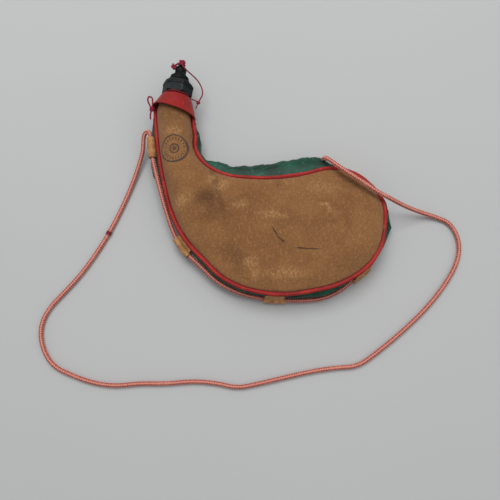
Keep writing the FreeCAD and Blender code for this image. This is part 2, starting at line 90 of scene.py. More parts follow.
# the cord round the bag: distance along the seam, distance out from it, height
RIM = [(0.051, 0.0083, 0.028), (0.053, 0.0083, 0.028), (0.066, 0.0083, 0.028), (0.079, 0.0083, 0.028),
       (0.092, 0.0077, 0.0264), (0.112, 0.0068, 0.025), (0.132, 0.0063, 0.0233), (0.151, 0.0065, 0.0202),
       (0.167, 0.0076, 0.0166), (0.18, 0.0085, 0.015), (0.193, 0.0085, 0.015), (0.206, 0.0085, 0.015),
       (0.226, 0.0072, 0.0154), (0.252, 0.0076, 0.0145), (0.282, 0.0066, 0.0115),
       (0.309, 0.0053, 0.0063), (0.322, 0.0053, 0.0063), (0.335, 0.0053, 0.0063), (0.354, 0.008, 0.0065),
       (0.38, 0.0105, 0.0045), (0.402, 0.0075, 0.0046), (0.42, 0.003, 0.0053), (0.433, 0.003, 0.0053),
       (0.446, 0.003, 0.0053), (0.458, 0.0027, 0.005), (0.474, -0.0004, 0.004), (0.498, -0.0042, 0.0032),
       (0.524, -0.0042, 0.0031), (0.546, -0.0006, 0.0044), (0.56, 0.0012, 0.0051),
       (0.573, 0.0018, 0.0053), (0.586, 0.0018, 0.0053), (0.599, 0.0018, 0.0053), (0.601, 0.0018, 0.0053)]
LOOPS = [(0.066, 0.0083, 0.028), (0.193, 0.0085, 0.015), (0.322, 0.0053, 0.0063),
         (0.433, 0.003, 0.0053), (0.586, 0.0018, 0.0053)]

STRING_D = 0.0019
TIED_D = 0.0022  # as it shows at the neck and the stopper, its fibres standing out
ANCHOR_D = 0.0016
TETHER = [(-0.1292, 0.1566, 0.0232), (-0.1276, 0.164, 0.0194), (-0.1266, 0.172, 0.0158),
          (-0.1296, 0.181, 0.0148), (-0.1354, 0.1874, 0.02), (-0.142, 0.1894, 0.028),
          (-0.148, 0.1906, 0.0354), (-0.1528, 0.1938, 0.039), (-0.1552, 0.1976, 0.0384),
          (-0.156, 0.1996, 0.0362)]


# Materials


class Wire:
    """What one socket gives; sums on it add Math nodes."""

    def __init__(self, finish, socket):
        self.finish, self.socket = finish, socket

    def math(self, operation, *values):
        return self.finish.node("ShaderNodeMath", {"operation": operation}, *values)

    def __add__(self, other):
        return self.math("ADD", self, other)

    def __sub__(self, other):
        return self.math("SUBTRACT", self, other)

    def __mul__(self, other):
        return self.math("MULTIPLY", self, other)

    def __radd__(self, other):
        return self.math("ADD", other, self)

    def __rsub__(self, other):
        return self.math("SUBTRACT", other, self)

    def __rmul__(self, other):
        return self.math("MULTIPLY", other, self)

    def __abs__(self):
        return self.math("ABSOLUTE", self)

    def most(self, other):
        return self.math("MAXIMUM", self, other)


class Finish:
    """A material in the making."""

    def __init__(self, name, roughness=0.6, **fixed):
        self.material = bpy.data.materials.new(name)
        self.material.use_nodes = True
        self.tree = self.material.node_tree
        self.shader = self.tree.nodes["Principled BSDF"]
        self.put(self.shader.inputs["Roughness"], roughness)
        for socket, value in fixed.items():
            self.put(self.shader.inputs[socket.replace("_", " ")], value)

    def put(self, socket, value):
        if isinstance(value, Wire):
            self.tree.links.new(value.socket, socket)
        elif value is not None:
            socket.default_value = value

    def node(self, kind, settings, *values, out=0, **named):
        node = self.tree.nodes.new(kind)
        for setting, value in settings.items():
            setattr(node, setting, value)
        for socket, value in zip(node.inputs, values):
            self.put(socket, value)
        for socket, value in named.items():
            self.put(node.inputs[socket.replace("_", " ")], value)
        return Wire(self, node.outputs[out])

    def place(self, stretch=(1, 1, 1), shift=(0, 0, 0), turn=0.0):
        """Object coordinates, in metres."""
        where = self.node("ShaderNodeTexCoord", {}, out="Object")
        return self.node("ShaderNodeMapping", {}, Vector=where, Scale=stretch, Location=shift,
                         Rotation=(0, 0, turn))

    def lay(self):
        """The piece's own map: round it, and along it in metres."""
        return self.node("ShaderNodeUVMap", {"uv_map": "lay"})

    def split(self, vector, axis):
        return self.node("ShaderNodeSeparateXYZ", {}, vector, out="XYZ".index(axis))

    def clouds(self, where, size, detail=3.0, rough=0.5, warp=0.0):
        """Soft noise, 0 to 1, of that size in metres."""
        return self.node("ShaderNodeTexNoise", {}, Vector=where, Scale=1 / size, Detail=detail,
                         Roughness=rough, Distortion=warp)

    def pebbles(self, where, size, feature="F1", out=0):
        return self.node("ShaderNodeTexVoronoi", {"feature": feature}, Vector=where, Scale=1 / size,
                         out=out)

    def fit(self, value, low, high, to_low=0.0, to_high=1.0):
        """Eases value from low..high to to_low..to_high."""
        return self.node("ShaderNodeMapRange", {"interpolation_type": "SMOOTHSTEP"}, value, low, high,
                         to_low, to_high)

    def mix(self, share, a, b, how="MIX"):
        return self.node("ShaderNodeMix", {"data_type": "RGBA", "blend_type": how}, share,
                         None, None, None, None, None, a, b, out=2)

    def bump(self, height, depth, under=None):
        return self.node("ShaderNodeBump", {}, Strength=1.0, Distance=depth, Height=height, Normal=under)

    def wear(self, **linked):
        for socket, value in linked.items():
            self.put(self.shader.inputs[socket.replace("_", " ")], value)
        return self.material


def rgb(red, green, blue):
    def linear(c):
        c /= 255
        return c / 12.92 if c <= 0.04045 else ((c + 0.055) / 1.055) ** 2.4
    return (linear(red), linear(green), linear(blue), 1.0)


def disc(f, where, x, y, width, height, turn, soft):
    """1 inside an ellipse on the panel, seen from above, eased out over a share of its size."""
    local = f.node("ShaderNodeMapping", {"vector_type": "TEXTURE"}, Vector=where, Location=(x, y, 0),
                   Rotation=(0, 0, math.radians(turn)), Scale=(width / 2, height / 2, 1000.0))
    far = f.node("ShaderNodeVectorMath", {"operation": "LENGTH"}, local, out="Value")
    return f.fit(far, 1 - soft, 1 + soft, 1.0, 0.0)


def suede_finish():
    f = Finish("tan_suede", Sheen_Weight=0.08, Sheen_Roughness=0.6, Specular_IOR_Level=0.2)
    at = f.place()
    patches = f.clouds(at, 0.05, 4, 0.55, 0.4)
    mottle = f.clouds(f.place(shift=(0.3, 0.1, 0)), 0.011, 5, 0.65, 0.3)
    nap = f.clouds(at, 0.0016, 5, 0.7)
    brushed = f.clouds(f.place((1, 0.75, 1), turn=0.9), 0.0024, 4, 0.65, 0.5)
    pores = f.pebbles(at, 0.0011)
    colour = f.mix(f.fit(patches, 0.36, 0.64), rgb(120, 81, 46), rgb(133, 92, 54))
    colour = f.mix(f.fit(mottle, 0.48, 0.72, 0.0, 0.28), colour, rgb(150, 108, 67))
    colour = f.mix(f.fit(mottle, 0.42, 0.28, 0.0, 0.28), colour, rgb(94, 60, 33))
    colour = f.mix(f.fit(nap, 0.36, 0.66, 0.0, 0.52), colour, rgb(94, 60, 34))
    colour = f.mix(f.fit(brushed, 0.50, 0.70, 0.0, 0.32), colour, rgb(172, 130, 84))
    # dark places: grime, with painted shade along the creases and the painted shadow of the cord
    for x, y, width, height, turn, share in GRIME_AND_SHADE:
        colour = f.mix(disc(f, at, x, y, width, height, turn, 0.8) * share * f.fit(nap, 0.25, 0.6),
                       colour, rgb(76, 47, 28))
    for x, y, width, height, turn, share in RUBBED:
        colour = f.mix(disc(f, at, x, y, width, height, turn, 0.9) * share * f.fit(brushed, 0.36, 0.60),
                       colour, rgb(188, 148, 100))
    marks = 0.0
    for x, y, width, height, turn in SCRATCHES:
        mark = disc(f, at, x, y, width, height, turn, 0.5)
        marks = mark.most(marks) if marks else mark
    colour = f.mix(marks * 0.75, colour, rgb(60, 38, 25))
    ink = stamp(f, at, mottle, nap)
    colour = f.mix(ink, colour, rgb(42, 40, 44))
    height = nap * 0.55 + brushed * 0.2 + f.fit(pores, 0.0, 0.6) * 0.25
    fine = f.bump(height, 0.00045)
    full = f.bump(mottle * 0.6 - marks * 0.9, 0.0010, fine)
    return f.wear(Base_Color=colour, Roughness=0.98 - nap * 0.14, Normal=full)


STAMP = (-0.1453, 0.0815)
STAMP_R, TICK_R, INNER_R = 0.0165, 0.0122, 0.0052
TICKS, PETALS = 22, 5
# dark, rubbed and scratched places on the panel: x, y, length, height, turn in degrees (, strength). The dark
# places are grime and painted shade: several lie along the pressed creases, and the long one at (0.0760,
# 0.0690) is the painted shadow of the cord beside it.
GRIME_AND_SHADE = [(-0.0985, 0.0280, 0.026, 0.018, 35, 0.75), (-0.0900, 0.0140, 0.018, 0.026, -20, 0.55),
         (-0.0950, 0.0580, 0.007, 0.034, 18, 0.6), (-0.0815, 0.0260, 0.007, 0.044, 24, 0.5),
         (-0.1540, 0.1280, 0.028, 0.016, 10, 0.35), (-0.0500, -0.0460, 0.016, 0.034, 10, 0.45),
         (-0.0660, -0.0310, 0.024, 0.016, -30, 0.35), (0.0040, 0.0140, 0.034, 0.016, 0, 0.25),
         (0.0780, -0.0300, 0.050, 0.022, 25, 0.35), (0.0760, 0.0690, 0.060, 0.006, -26, 0.35),
         (-0.0140, 0.0560, 0.010, 0.020, 30, 0.35), (-0.1560, 0.0500, 0.010, 0.034, 12, 0.25),
         (-0.0850, 0.0680, 0.016, 0.012, 0, 0.3), (0.0300, -0.0560, 0.060, 0.010, 12, 0.25)]
RUBBED = [(0.0433, 0.0392, 0.012, 0.005, 10, 0.45), (0.0520, 0.0330, 0.018, 0.006, -20, 0.22),
          (0.0380, 0.0600, 0.028, 0.012, 0, 0.2), (-0.0579, 0.0242, 0.018, 0.009, 20, 0.28),
          (-0.0370, -0.0430, 0.014, 0.010, 30, 0.4), (-0.0297, -0.0540, 0.009, 0.016, 10, 0.3),
          (-0.0823, 0.0425, 0.018, 0.010, 40, 0.4), (-0.0957, 0.0509, 0.012, 0.008, 60, 0.35),
          (-0.0180, 0.0180, 0.030, 0.010, 0, 0.3), (-0.1250, 0.0200, 0.020, 0.014, 60, 0.35),
          (0.0060, -0.0500, 0.040, 0.012, 8, 0.3), (-0.1460, 0.1040, 0.020, 0.010, 10, 0.3)]
SCRATCHES = [(-0.0117, -0.0036, 0.0135, 0.0015, -52), (-0.0041, -0.0110, 0.0105, 0.0017, -34),
             (-0.0010, -0.0132, 0.0030, 0.0026, -20), (0.0300, -0.0179, 0.0280, 0.0012, 4),
             (0.0225, -0.0186, 0.0130, 0.0019, 2)]


def stamp(f, at, mottle, nap):
    """A plain ink mark: two rings, ticks between them and a star inside, unevenly pressed."""
    centred = f.node("ShaderNodeMapping", {"vector_type": "TEXTURE"}, Vector=at,
                     Location=(STAMP[0], STAMP[1], 0), Scale=(1, 1, 1000.0))
    x, y = f.split(centred, "X"), f.split(centred, "Y")
    far = f.node("ShaderNodeVectorMath", {"operation": "LENGTH"}, centred, out="Value")
    angle = f.node("ShaderNodeMath", {"operation": "ARCTAN2"}, y, x)
    ring = f.fit(abs(far - STAMP_R), 0.0006, 0.0011, 1.0, 0.0)
    heavy = f.fit(abs(far - STAMP_R + 0.0007), 0.0008, 0.0016, 1.0, 0.0) * f.fit(x - y * 0.4, 0.0, 0.012)
    spoke = f.node("ShaderNodeMath", {"operation": "PINGPONG"}, angle * (TICKS / 2 / math.pi), 0.5)
    ticks = f.fit(spoke, 0.31, 0.38) * f.fit(abs(far - TICK_R), 0.0014, 0.0018, 1.0, 0.0)
    ticks = ticks * f.fit(abs(y - x * 0.1), 0.0022, 0.0034)
    inner = f.fit(abs(far - INNER_R), 0.0006, 0.0010, 1.0, 0.0)
    petal = f.node("ShaderNodeMath", {"operation": "PINGPONG"}, angle * (PETALS / 2 / math.pi), 0.5)
    inner = inner.most(f.fit(far - petal * INNER_R, 0.0008, 0.0013, 1.0, 0.0))
    uneven = f.fit(mottle, 0.25, 0.5, 0.35, 1.0) * f.fit(nap, 0.25, 0.5, 0.6, 1.0)
    return ring.most(heavy).most(ticks).most(inner) * uneven * 0.85


def vinyl_finish(name, base, light, dark, roughness, grain):
    """Leathercloth with a fine pressed grain."""
    f = Finish(name, Specular_IOR_Level=0.22)
    at = f.place()
    cells = f.pebbles(at, grain, "SMOOTH_F1")
    creases = f.clouds(at, 0.006, 4, 0.6, 0.5)
    broad = f.clouds(at, 0.03, 2)
    colour = f.mix(f.fit(broad, 0.3, 0.7), base, dark)
    colour = f.mix(f.fit(creases, 0.52, 0.74, 0.0, 0.5), colour, light)
    colour = f.mix(f.fit(cells, 0.35, 0.75, 0.0, 0.3), colour, dark)
    height = f.fit(cells, 0.0, 0.8, 1.0, 0.0) * 0.5 + creases * 0.6
    return f.wear(Base_Color=colour, Roughness=roughness + creases * 0.16 - 0.08,
                  Normal=f.bump(height, grain * 0.35))


def moulded_finish(name, base, roughness):
    """Moulded plastic, faintly pebbled, a little greyer where it is handled."""
    f = Finish(name, Specular_IOR_Level=0.11)
    at = f.place()
    haze = f.clouds(at, 0.007, 4, 0.6)
    speck = f.clouds(at, 0.0006, 2)
    colour = f.mix(f.fit(haze, 0.45, 0.75, 0.0, 0.25), base, rgb(40, 43, 44))
    return f.wear(Base_Color=colour, Roughness=f.fit(haze, 0.3, 0.7, roughness - 0.08, roughness + 0.12),
                  Normal=f.bump(speck * 0.4 + haze * 0.6, 0.00012))


def leather_finish(name="tan_leather"):
    f = Finish(name, Specular_IOR_Level=0.35)
    at = f.place()
    grain = f.pebbles(at, 0.0009, "SMOOTH_F1")
    mottle = f.clouds(at, 0.006, 4, 0.6)
    colour = f.mix(f.fit(mottle, 0.3, 0.7), rgb(142, 96, 56), rgb(184, 136, 88))
    colour = f.mix(f.fit(grain, 0.4, 0.8, 0.0, 0.4), colour, rgb(110, 72, 40))
    return f.wear(Base_Color=colour, Roughness=0.62 + mottle * 0.2,
                  Normal=f.bump(f.fit(grain, 0.0, 0.8, 1.0, 0.0) + mottle, 0.0003))


def rubber_finish(name, base, roughness=0.7):
    f = Finish(name)
    at = f.place()
    dust = f.clouds(at, 0.004, 4, 0.6)
    return f.wear(Base_Color=f.mix(f.fit(dust, 0.3, 0.8), base, rgb(150, 150, 146)),
                  Roughness=roughness + dust * 0.1, Normal=f.bump(f.clouds(at, 0.0008, 2), 0.0001))


def yarn_finish(name, light, dark, worn):
    """Spun yarn: fibres along the strand, a tone by strand, and painted shade where strands go under."""
    f = Finish(name, Sheen_Weight=0.15, Specular_IOR_Level=0.3)
    lay = f.lay()
    fibres = f.node("ShaderNodeMapping", {}, Vector=lay, Scale=(12.0, 220.0, 1.0))
    threads = f.clouds(fibres, 1.0, 3, 0.6)
    shade = f.node("ShaderNodeAttribute", {"attribute_name": "shade"}, out="Fac")
    depth = f.node("ShaderNodeAttribute", {"attribute_name": "depth"}, out="Fac")
    wear = f.clouds(f.place(), 0.012, 3)
    colour = f.mix(shade, light, dark)
    colour = f.mix(f.fit(wear, 0.5, 0.75, 0.0, 0.35), colour, worn)
    colour = f.mix(f.fit(threads, 0.35, 0.7, 0.0, 0.4), colour, dark)
    # painted shade: darker where the depth attribute is low, under other strands and on the core
    colour = f.mix(f.fit(depth, 0.1, 0.7, 0.85, 0.0), colour, dark, "MULTIPLY")
    return f.wear(Base_Color=colour, Roughness=0.75 + threads * 0.15, Normal=f.bump(threads, 0.00016))


# Making meshes


def piece(name, vertices, faces, finish, body="bag", smooth=45, lay=None):
    """A new object from its corners, at the origin, on a body, with its finish."""
    mesh = bpy.data.meshes.new(name)
    mesh.from_pydata([tuple(v) for v in vertices], [], faces)
    if lay:
        rows = mesh.uv_layers.new(name="lay").data
        rows.foreach_set("uv", [n for uv in lay for n in uv])
    thing = bpy.data.objects.new(name, mesh)
    bpy.context.collection.objects.link(thing)
    return dress(thing, finish, body, smooth)


def dress(thing, finish, body="bag", smooth=45):
    thing.data.materials.clear()
    thing.data.materials.append(finish)
    pick(thing)
    bpy.ops.object.shade_smooth_by_angle(angle=math.radians(smooth))
    thing.select_set(False)
    if body:
        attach(thing, body)
    return thing


def pick(*things):
    bpy.ops.object.select_all(action="DESELECT")
    for thing in things:
        thing.select_set(True)
    bpy.context.view_layer.objects.active = things[0]


def apply(thing, kind, **settings):
    change = thing.modifiers.new(kind, kind)
    for setting, value in settings.items():
        setattr(change, setting, value)
    pick(thing)
    bpy.ops.object.modifier_apply(modifier=change.name)


def read_curve(points, kind):
    """The line of a curve with no bevel: NURBS on its control points, or smooth through points."""
    data = bpy.data.curves.new("line", "CURVE")
    data.dimensions = "3D"
    data.resolution_u = 24
    spline = data.splines.new(kind)
    if kind == "NURBS":
        spline.points.add(len(points) - 1)
        for point, at in zip(spline.points, points):
            point.co = (*at, 1)
        spline.order_u = 3
        spline.use_endpoint_u = True
    else:
        spline.bezier_points.add(len(points) - 1)
        for point, at in zip(spline.bezier_points, points):
            point.co = at
        for point in spline.bezier_points:
            point.handle_left_type = point.handle_right_type = "AUTO"
    thing = bpy.data.objects.new("line", data)
    bpy.context.collection.objects.link(thing)
    bpy.context.view_layer.update()
    mesh = bpy.data.meshes.new_from_object(thing)
    line = [v.co.copy() for v in mesh.vertices]
    bpy.data.objects.remove(thing)
    bpy.data.meshes.remove(mesh)
    return line


class Line:
    """A line read by the distance along it."""

    def __init__(self, points):
        self.points, self.at = points, [0.0]
        for a, b in zip(points, points[1:]):
            self.at.append(self.at[-1] + (b - a).length)
        self.length = self.at[-1]

    def spot(self, distance):
        distance = min(max(distance, 0.0), self.length)
        low, high = 0, len(self.at) - 1
        while high - low > 1:
            half = (low + high) // 2
            low, high = (half, high) if self.at[half] <= distance else (low, half)
        share = (distance - self.at[low]) / max(1e-12, self.at[high] - self.at[low])
        return self.points[low].lerp(self.points[high], share)

    def along(self, distance, reach=0.0008):
        return (self.spot(distance + reach) - self.spot(distance - reach)).normalized()

    def part(self, start, end, step):
        count = max(2, round((end - start) / step))
        return [self.spot(start + (end - start) * i / count) for i in range(count + 1)]


def carried(points):
    """(point, direction, side, other side) along points, turning as little as it can."""
    rows, side = [], None
    for i, at in enumerate(points):
        along = (points[min(i + 1, len(points) - 1)] - points[max(i - 1, 0)]).normalized()
        if side is None:
            side = along.cross(Vector((0, 0, 1)))
            if side.length < 0.1:
                side = along.cross(Vector((1, 0, 0)))
        side = (side - along * side.dot(along)).normalized()
        rows.append((at, along, side, along.cross(side)))
    return rows


class Yarn:
    """Corners, faces, map, shades and depths of strands, gathered into one mesh; the depths give painted shade
    where strands go under.
    """

    def __init__(self):
        self.vertices, self.faces, self.lay, self.shade, self.depth = [], [], [], [], []

    def strand(self, centres, outward, wide, thick, sides, shade, depths):
        """One strand: an oval tube along centres, its flat side facing outward, closed at both ends."""
        base, run = len(self.vertices), 0.0
        steps = [run]
        for a, b in zip(centres, centres[1:]):
            run += (b - a).length
            steps.append(run)
        last = len(centres) - 1
        for i, at in enumerate(centres):
            along = (centres[min(i + 1, last)] - centres[max(i - 1, 0)]).normalized()
            out = (outward[i] - along * outward[i].dot(along)).normalized()
            across = along.cross(out)
            for k in range(sides):
                angle = 2 * math.pi * k / sides
                self.vertices.append(at + across * (wide * math.cos(angle)) + out * (thick * math.sin(angle)))
                self.shade.append(shade)
                self.depth.append(depths[i])
        for i in range(last):
            for k in range(sides):
                a, b = base + i * sides + k, base + i * sides + (k + 1) % sides
                self.faces.append((a, b, b + sides, a + sides))
                u, w = k / sides, (k + 1) / sides
                self.lay += [(u, steps[i]), (w, steps[i]), (w, steps[i + 1]), (u, steps[i + 1])]
        self.faces.append(tuple(base + k for k in range(sides))[::-1])
        self.faces.append(tuple(base + last * sides + k for k in range(sides)))
        self.lay += [(0, 0)] * (2 * sides)

    def wound(self, points, turn, start, radius, wave, wave_length, wide, thick, sides, shade):
        """A strand wound round the line, passing over and under."""
        centres, outward, depths, run = [], [], [], 0.0
        before = None
        for at, along, side, other in carried(points):
            run += (at - before).length if before else 0.0
            before = at
            angle = start + turn * run
            out = side * math.cos(angle) + other * math.sin(angle)
            over = math.cos(2 * math.pi * run / wave_length) if wave_length else 1.0
            centres.append(at + out * (radius + wave * over))
            outward.append(out)
            # depth is 1 where the strand lies on top and 0 where it goes under; the finish darkens it there as
            # painted shade
            depths.append(0.5 + 0.5 * over if wave > 0 else 0.5 - 0.5 * over if wave < 0 else 0.7)
        self.strand(centres, outward, wide, thick, sides, shade, depths)

    def braid(self, points, diameter, plies=8, pitch=0.0112):
        """Round braid: half of the strands go each way, over one and under one."""
        half, turn = plies // 2, 2 * math.pi / pitch
        # the core is at depth 0, so the finish darkens it most: painted shade inside the braid
        core = points[::3] + points[-1:]
        self.strand(core, [f[2] for f in carried(core)], diameter * 0.24, diameter * 0.24, 6, 1.0,
                    [0.0] * len(core))
        for i in range(half):
            for way in (1, -1):
                self.wound(points, way * turn, 2 * math.pi * i / half, diameter * 0.335,
                           way * diameter * 0.075, pitch / half, diameter * 0.20, diameter * 0.105, 5,
                           0.05 if way > 0 else 0.72 + 0.16 * (i % 2))

    def twist(self, points, diameter, plies=3, pitch=0.0055):
        for i in range(plies):
            self.wound(points, 2 * math.pi / pitch, 2 * math.pi * i / plies, diameter * 0.235, 0.0, 0.0,
                       diameter * 0.27, diameter * 0.255, 7, 0.2 * i)

    def knot(self, at, size, diameter, face=(0, 0, 1)):
        """An overhand knot drawn tight."""
        turn = Vector((0, 0, 1)).rotation_difference(Vector(face))
        points = []
        for i in range(49):
            a = 2 * math.pi * i / 48
            ring = 2.0 + math.cos(3 * a)
            points.append(Vector(at) + turn @ Vector((ring * math.cos(2 * a), ring * math.sin(2 * a),
                                                      1.3 * math.sin(3 * a))) * (size / 3))
        self.twist(points, diameter)

    def made(self, name, finish, slot, body="bag"):
        thing = piece(name, self.vertices, self.faces, finish, body, 60, self.lay)
        for layer, values in (("shade", self.shade), ("depth", self.depth)):
            data = thing.data.attributes.new(layer, "FLOAT", "POINT").data
            data.foreach_set("value", values)
        return thing


# The cords come first


def place_camera():
    bpy.ops.object.camera_add()
    camera = bpy.context.object
    camera.name = "camera"
    turn = Matrix(((0.9917, 0.1288, 0.0), (-0.1268, 0.9766, 0.1736), (0.0224, -0.1722, 0.9848)))
    camera.matrix_world = Matrix.Translation((-0.02565, -0.13065, 0.62088)) @ turn.transposed().to_4x4()
    camera.data.sensor_width = 36
    camera.data.lens = 36
    bpy.context.scene.camera = camera


place_camera()

seam = Line(read_curve([(x, y, SEAM_Z) for x, y in SEAM], "BEZIER"))
TIP_AT = min(range(0, 20001), key=lambda i: (seam.spot(seam.length * i / 20000)
                                              - Vector((*SEAM[TIP], SEAM_Z))).length) / 20000 * seam.length


def seam_at(distance):
    """Point on the seam, and the level direction out of the bag there."""
    along = seam.along(distance)
    return seam.spot(distance), Vector((along.y, -along.x, 0)).normalized()


def rim_point(distance, out, height):
    at, away = seam_at(distance)
    at = at + away * out
    return Vector((at.x, at.y, height))


ROPE = yarn_finish("braided_cord", rgb(224, 146, 128), rgb(112, 36, 36), rgb(214, 148, 132))
STRING = yarn_finish("crimson_string", rgb(142, 26, 48), rgb(84, 12, 28), rgb(166, 56, 74))

strap_line = Line(read_curve(STRAP, "NURBS"))
strap_points = strap_line.part(0, strap_line.length, BRAID_STEP)
yarn = Yarn()
yarn.braid(strap_points, CORD_D)
shoulder = yarn.made("shoulder_cord_braid", ROPE, "rope")
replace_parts(shoulder, "shoulder_cord")

rim_line = Line(read_curve([rim_point(*row) for row in RIM], "NURBS"))
yarn = Yarn()
rim_points = rim_line.part(0, rim_line.length, BRAID_STEP)
yarn.braid(rim_points, CORD_D)
rim = yarn.made("rim_cord_braid", ROPE, "rope")
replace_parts(rim, "rim_cord")


def whipping():
    """Fine thread wound over the cord's joined ends."""
    low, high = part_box("cord_splice")
    middle = (Vector(low) + Vector(high)) / 2
    near = min(range(len(strap_points)), key=lambda i: (strap_points[i] - middle).length)
    run = Line(strap_points[near - 9:near + 10])
    coil = []
    rows = carried(run.part(run.length / 2 - 0.0024, run.length / 2 + 0.0024, 0.00007))
    for i, (at, along, side, other) in enumerate(rows):
        angle = 2 * math.pi * i / 10
        coil.append(at + (side * math.cos(angle) + other * math.sin(angle)) * (CORD_D / 2 + 0.0003))
    yarn = Yarn()
    yarn.strand(coil, [p - middle for p in coil], 0.0004, 0.0004, 6, 0.6, [0.8] * len(coil))
    thing = yarn.made("cord_splice_whipping", STRING, "rope")
    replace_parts(thing, "cord_splice")
    return thing


splice = whipping()


def tether():
    """The string from the neck to the stopper, in two runs."""
    line = Line(read_curve(TETHER, "NURBS"))
    half = line.length / 2
    runs = [("tether_string_low", 0, half, ("bag", "nozzle_lift"), 0.08, 0.85),
            ("tether_string_high", half, line.length, ("nozzle_lift", "stopper"), 0.15, 0.92)]
    made = []
    for name, start, end, bodies, first, last in runs:
        points = line.part(start, end, TWIST_STEP)
        yarn = Yarn()
        yarn.twist(points, STRING_D)
        thing = yarn.made(name, STRING, "string", None)
        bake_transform(thing)
        made.append(thing)
    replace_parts(made[0], "tether_string")


tether()


# Strings at the neck and the stopper


def neck_string():
    yarn = Yarn()
    ring = [NECK + Vector((0.0211 * math.cos(a), 0.146, 0.0211 * math.sin(a)))
            for a in [2 * math.pi * i / 120 for i in range(121)]]
    yarn.twist(ring, TIED_D)
    knot = (-0.1840, 0.1340, 0.0338)
    runs = [[(-0.1779, 0.146, 0.0322), (-0.1802, 0.1398, 0.0334), (-0.1835, 0.1343, 0.0334)],
            [(-0.1843, 0.1342, 0.0340), (-0.1874, 0.1384, 0.0356), (-0.1908, 0.1436, 0.0368),
             (-0.1900, 0.1490, 0.0376), (-0.1850, 0.1480, 0.0374), (-0.1838, 0.1412, 0.0362),
             (-0.1836, 0.1344, 0.0342)],
            [(-0.1841, 0.1338, 0.0336), (-0.1848, 0.1300, 0.0340), (-0.1848, 0.1256, 0.0338),
             (-0.1838, 0.1210, 0.0328)]]
    for points in runs:
        line = Line(read_curve(points, "NURBS"))
        yarn.twist(line.part(0, line.length, TWIST_STEP), TIED_D)
    yarn.knot(knot, 0.0028, TIED_D, (0.2, -0.3, 1))
    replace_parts(yarn.made("neck_tie_string", STRING, "string"), "neck_tie")


def anchor_string():
    yarn = Yarn()
    ring = [NECK + Vector((0.0159 * math.cos(a), 0.1577, 0.0159 * math.sin(a)))
            for a in [2 * math.pi * i / 120 for i in range(121)]]
    yarn.twist(ring, ANCHOR_D)
    for points in ([(-0.1415, 0.1577, 0.0258), (-0.1354, 0.1576, 0.025), (-0.132, 0.1564, 0.0244),
                    (-0.1296, 0.155, 0.024)],
                   [(-0.1298, 0.155, 0.024), (-0.1306, 0.1515, 0.023), (-0.1318, 0.1476, 0.0216)]):
        line = Line(read_curve(points, "NURBS"))
        yarn.twist(line.part(0, line.length, TWIST_STEP), ANCHOR_D)
    yarn.knot((-0.1296, 0.155, 0.024), 0.0021, STRING_D * 0.9, (0.3, 0.3, 1))
    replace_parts(yarn.made("tether_anchor_string", STRING, "string"), "tether_anchor")


def stopper_string():
    yarn = Yarn()
    ring = [NECK + Vector((0.0039 * math.cos(a), 0.2009, 0.0039 * math.sin(a)))
            for a in [2 * math.pi * i / 48 for i in range(49)]]
    yarn.twist(ring, STRING_D)
    yarn.knot((-0.1560, 0.2009, 0.0352), 0.0036, TIED_D * 1.1, (0.1, 0.4, 1))
    line = Line(read_curve([(-0.1574, 0.2004, 0.0352), (-0.1622, 0.1984, 0.0364),
                            (-0.1656, 0.1936, 0.0342)], "NURBS"))
    yarn.twist(line.part(0, line.length, TWIST_STEP), TIED_D * 1.2)
    yarn.knot((-0.1656, 0.1944, 0.0346), 0.0033, TIED_D * 1.1, (0.7, 0.2, 0.6))
    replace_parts(yarn.made("stopper_knot_string", STRING, "string", "stopper"), "stopper_knot")


neck_string()
anchor_string()
stopper_string()


# The bag


def solid_of(node):
    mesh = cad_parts[node].data
    return BVHTree.FromPolygons([v.co for v in mesh.vertices], [p.vertices for p in mesh.polygons])


def eased(a, b, x):
    s = min(1.0, max(0.0, (x - a) / (b - a)))
    return s * s * (3 - 2 * s)


def chord(v, inset):
    """Left and right seam points of the cross-section at share v from neck to tip, set in."""
    ends = [seam_at(TIP_AT * v), seam_at(seam.length - (seam.length - TIP_AT) * v)]
    return [at - away * inset for at, away in ends]


def sheet_grid(name, across, along):
    """A flat grid, as rows of vertices from the neck to the tip, each from left to right."""
    bpy.ops.mesh.primitive_grid_add(x_subdivisions=across, y_subdivisions=along, size=2)
    thing = bpy.context.object
    thing.name = name
    rows = {}
    for vertex in thing.data.vertices:
        rows.setdefault(round(vertex.co.y, 6), []).append(vertex)
    return thing, [sorted(row, key=lambda v: v.co.x) for _, row in sorted(rows.items())]


def toward_tip(i, count):
    """Share of the way to the tip for a row, closer together near the tip."""
    s = i / count
    return s + 0.10 * math.sin(math.pi * s) * s


FRONT = solid_of("front_panel")
BACK = solid_of("back_shell")
# folds pressed into the panel: two ends, width, depth
CREASES = [((-0.0990, 0.0700), (-0.0905, 0.0450), 0.0042, 0.0013),
           ((-0.0905, 0.0450), (-0.0730, 0.0070), 0.0044, 0.0012),
           ((-0.1080, 0.0370), (-0.0900, 0.0100), 0.0100, 0.0018),
           ((-0.1040, 0.0200), (-0.0860, 0.0260), 0.0080, 0.0010),
           ((-0.0180, 0.0560), (-0.0080, 0.0480), 0.0050, 0.0006),
           ((-0.0560, -0.0300), (-0.0480, -0.0580), 0.0070, 0.0007),
           ((-0.0400, -0.0360), (-0.0330, -0.0580), 0.0050, 0.0005),
           ((0.0560, 0.0790), (0.0980, 0.0640), 0.0030, 0.0003),
           ((-0.1500, 0.0560), (-0.1400, 0.0250), 0.0080, 0.0007),
           ((0.0165, -0.0186), (0.0429, -0.0169), 0.0018, 0.0005),
           ((-0.0154, 0.0012), (-0.0020, -0.0130), 0.0018, 0.0005)]


def pressed(x, y):
    """Depth of the creases at a place on the panel."""
    total, at = 0.0, Vector((x, y))
    for a, b, width, depth in CREASES:
        a, b = Vector(a), Vector(b)
        run = b - a
        s = (at - a).dot(run) / run.length_squared
        side = (at - a - run * s).length / width
        fade = eased(-0.25, 0.2, s) * (1 - eased(0.8, 1.25, s))
        total += depth * fade * (math.exp(-side * side * 2) - 0.45 * math.exp(-(side - 1.6) ** 2 * 2))
    return total


